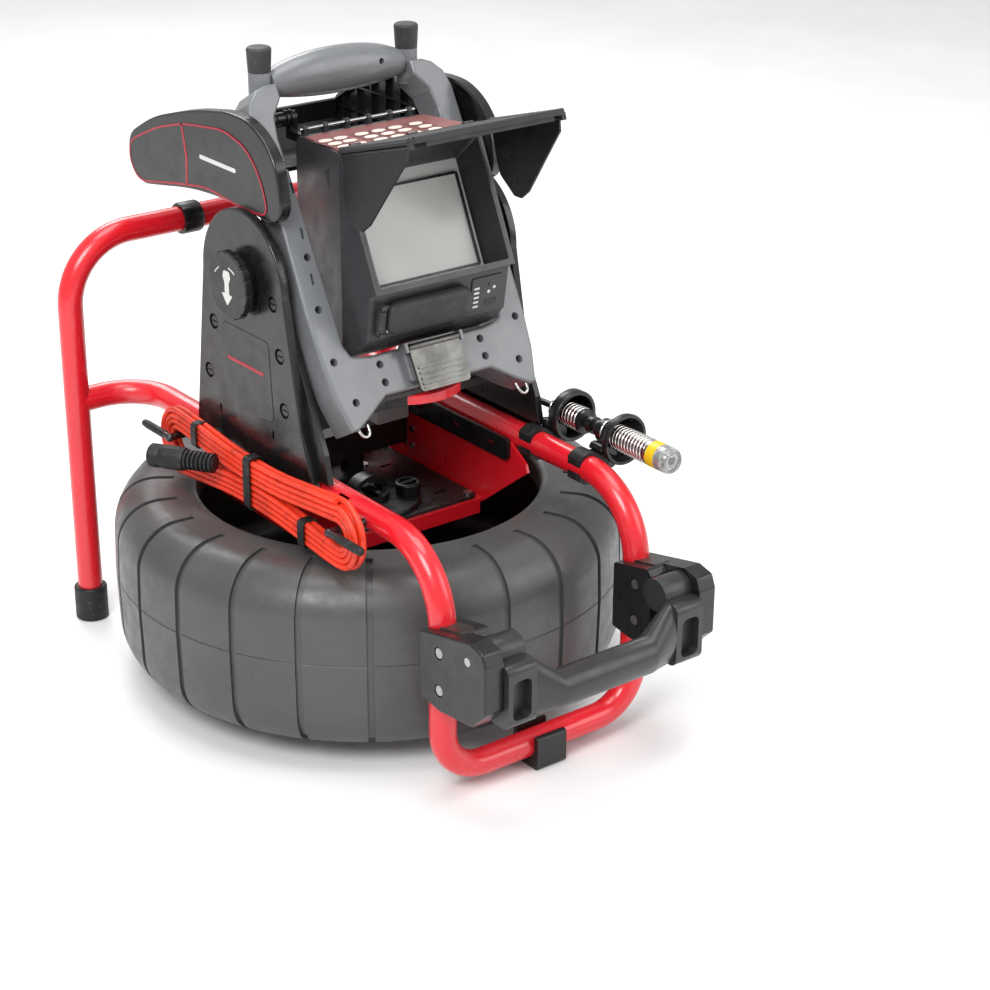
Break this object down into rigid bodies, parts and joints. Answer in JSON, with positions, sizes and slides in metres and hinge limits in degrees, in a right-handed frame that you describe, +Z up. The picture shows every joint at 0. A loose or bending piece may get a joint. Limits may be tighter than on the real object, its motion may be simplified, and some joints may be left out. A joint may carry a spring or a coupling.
{
  "type": "drain inspection camera",
  "caption": "Drain inspection camera: push cable drum on a bent tube carry frame, tilting monitor with sun hood and keypad, camera head parked at the side, cable hank.",
  "frame": {"origin": "on the floor under the drum axle, at the centre of the axle foot", "axes": "+Z up along the drum axle, -Y towards the user and the screen, +X to the side where the camera head is parked"},
  "size_m": [0.4998, 0.6273, 0.618],
  "materials": {
    "red_paint": "gloss",
    "grey_plastic": "satin",
    "silver_frame": "satin",
    "case_plastic": "satin",
    "dark_plastic": "matte",
    "pale_block": "matte",
    "black_rubber": "matte",
    "key_panel": "satin",
    "key_rubber": "matte",
    "steel": "satin",
    "screen_glass": "gloss",
    "orange_cable": "satin",
    "black_cable": "satin"
  },
  "bodies": {
    "frame": {"cable_end_spring": "steel", "cable_hank": "orange_cable", "cable_hooks": "steel", "camera_head": "steel", "camera_spring": "steel", "clamp_screws": "steel", "dock_crossbar": "dark_plastic", "dock_tray": "red_paint", "drum_axle": "steel", "front_foot_pad": "grey_plastic", "front_frame_tube": "red_paint", "guide_rings": "dark_plastic", "handle_clamp_left": "grey_plastic", "handle_clamp_right": "grey_plastic", "handle_pins": "steel", "hank_connector": "black_rubber", "parking_clips": "black_rubber", "pivot_pins": "steel", "plate_bolts": "steel", "plate_liners": "dark_plastic", "push_cable_tail": "black_cable", "rear_feet": "black_rubber", "rear_loop_tube": "red_paint", "rest_blocks": "pale_block", "side_plate_left": "grey_plastic", "side_plate_right": "grey_plastic", "slot_strips": "dark_plastic", "tray_base_plate": "dark_plastic", "tray_screws": "steel"},
    "drum": {"drum_upper_shell": "grey_plastic", "drum_lower_shell": "grey_plastic", "drum_hub": "dark_plastic", "push_cable_coil": "black_cable"},
    "monitor": {"dock_carriage": "dark_plastic", "carriage_lip": "red_paint", "monitor_frame": "silver_frame", "post_caps": "black_rubber", "display_case": "case_plastic", "display_bezel": "case_plastic", "screen_window": "screen_glass", "lcd_panel": "dark_plastic", "keypad_frame": "key_panel", "deck_hinge_rod": "case_plastic", "latch_boss": "silver_frame", "rear_shell_left": "grey_plastic", "rear_shell_right": "grey_plastic", "storage_bin": "dark_plastic", "deck_connector": "dark_plastic"},
    "lock_lever": {"drum_lock_lever": "dark_plastic"},
    "hub_knob": {"hub_knob": "dark_plastic"},
    "tilt_knob": {"tilt_lock_knob": "dark_plastic"},
    "visor": {"sun_visor": "case_plastic"},
    "flap_left": {"hood_flap_left": "dark_plastic"},
    "flap_right": {"hood_flap_right": "dark_plastic"},
    "cover": {"port_cover": "black_rubber"},
    "latch": {"dock_latch": "steel"},
    "keys_left": {"key_mat_left": "key_rubber"},
    "keys_middle": {"key_mat_middle": "key_rubber"},
    "keys_right": {"key_mat_right": "key_rubber"},
    "handle": {"handle_grip": "grey_plastic"}
  },
  "joints": [
    {"name": "drum_spin", "type": "hinge", "parent": "frame", "child": "drum", "pos_m": [0, 0, 0.1], "axis": [0, 0, 1], "continuous": true},
    {"name": "drum_lock", "type": "hinge", "parent": "frame", "child": "lock_lever", "pos_m": [0, 0, 0.172], "axis": [0, 0, 1], "range_deg": [0, 60]},
    {"name": "hub_knob_turn", "type": "hinge", "parent": "frame", "child": "hub_knob", "pos_m": [0.036, -0.014, 0.172], "axis": [0, 0, 1], "range_deg": [0, 90]},
    {"name": "monitor_tilt", "type": "hinge", "parent": "frame", "child": "monitor", "pos_m": [0, 0.006, 0.416], "axis": [1, 0, 0], "range_deg": [-10, 25]},
    {"name": "tilt_lock", "type": "hinge", "parent": "frame", "child": "tilt_knob", "pos_m": [-0.14, 0.006, 0.416], "axis": [1, 0, 0], "range_deg": [0, 90]},
    {"name": "visor_hinge", "type": "hinge", "parent": "monitor", "child": "visor", "pos_m": [0, -0.07747, 0.54862], "axis": [1, 0, 0], "range_deg": [0, 71]},
    {"name": "flap_left_hinge", "type": "hinge", "parent": "visor", "child": "flap_left", "pos_m": [-0.0815, -0.13631, 0.56125], "axis": [0, -0.9588, 0.284], "range_deg": [0, 98]},
    {"name": "flap_right_hinge", "type": "hinge", "parent": "visor", "child": "flap_right", "pos_m": [0.0815, -0.13631, 0.56125], "axis": [0, 0.9588, -0.284], "range_deg": [0, 86]},
    {"name": "port_cover_hinge", "type": "hinge", "parent": "monitor", "child": "cover", "pos_m": [-0.066, -0.12035, 0.3999], "axis": [0, 0.1607, -0.987], "range_deg": [0, 110]},
    {"name": "latch_hinge", "type": "hinge", "parent": "monitor", "child": "latch", "pos_m": [-0.002, -0.10903, 0.36376], "axis": [-1, 0, 0], "range_deg": [0, 70], "stiffness_Nm_per_rad": 0.05, "springref_deg": -17.19},
    {"name": "key_left_press", "type": "slide", "parent": "monitor", "child": "keys_left", "axis": [0, -0.0491, -0.9988], "range_m": [0, 0.0008], "stiffness_N_per_m": 300, "springref_m": -0.0006},
    {"name": "key_middle_press", "type": "slide", "parent": "monitor", "child": "keys_middle", "axis": [0, -0.0491, -0.9988], "range_m": [0, 0.0008], "stiffness_N_per_m": 300, "springref_m": -0.0006},
    {"name": "key_right_press", "type": "slide", "parent": "monitor", "child": "keys_right", "axis": [0, -0.0491, -0.9988], "range_m": [0, 0.0008], "stiffness_N_per_m": 300, "springref_m": -0.0006},
    {"name": "handle_swing", "type": "hinge", "parent": "frame", "child": "handle", "pos_m": [0, -0.332, 0.169], "axis": [-1, 0, 0], "range_deg": [0, 110]}
  ]
}
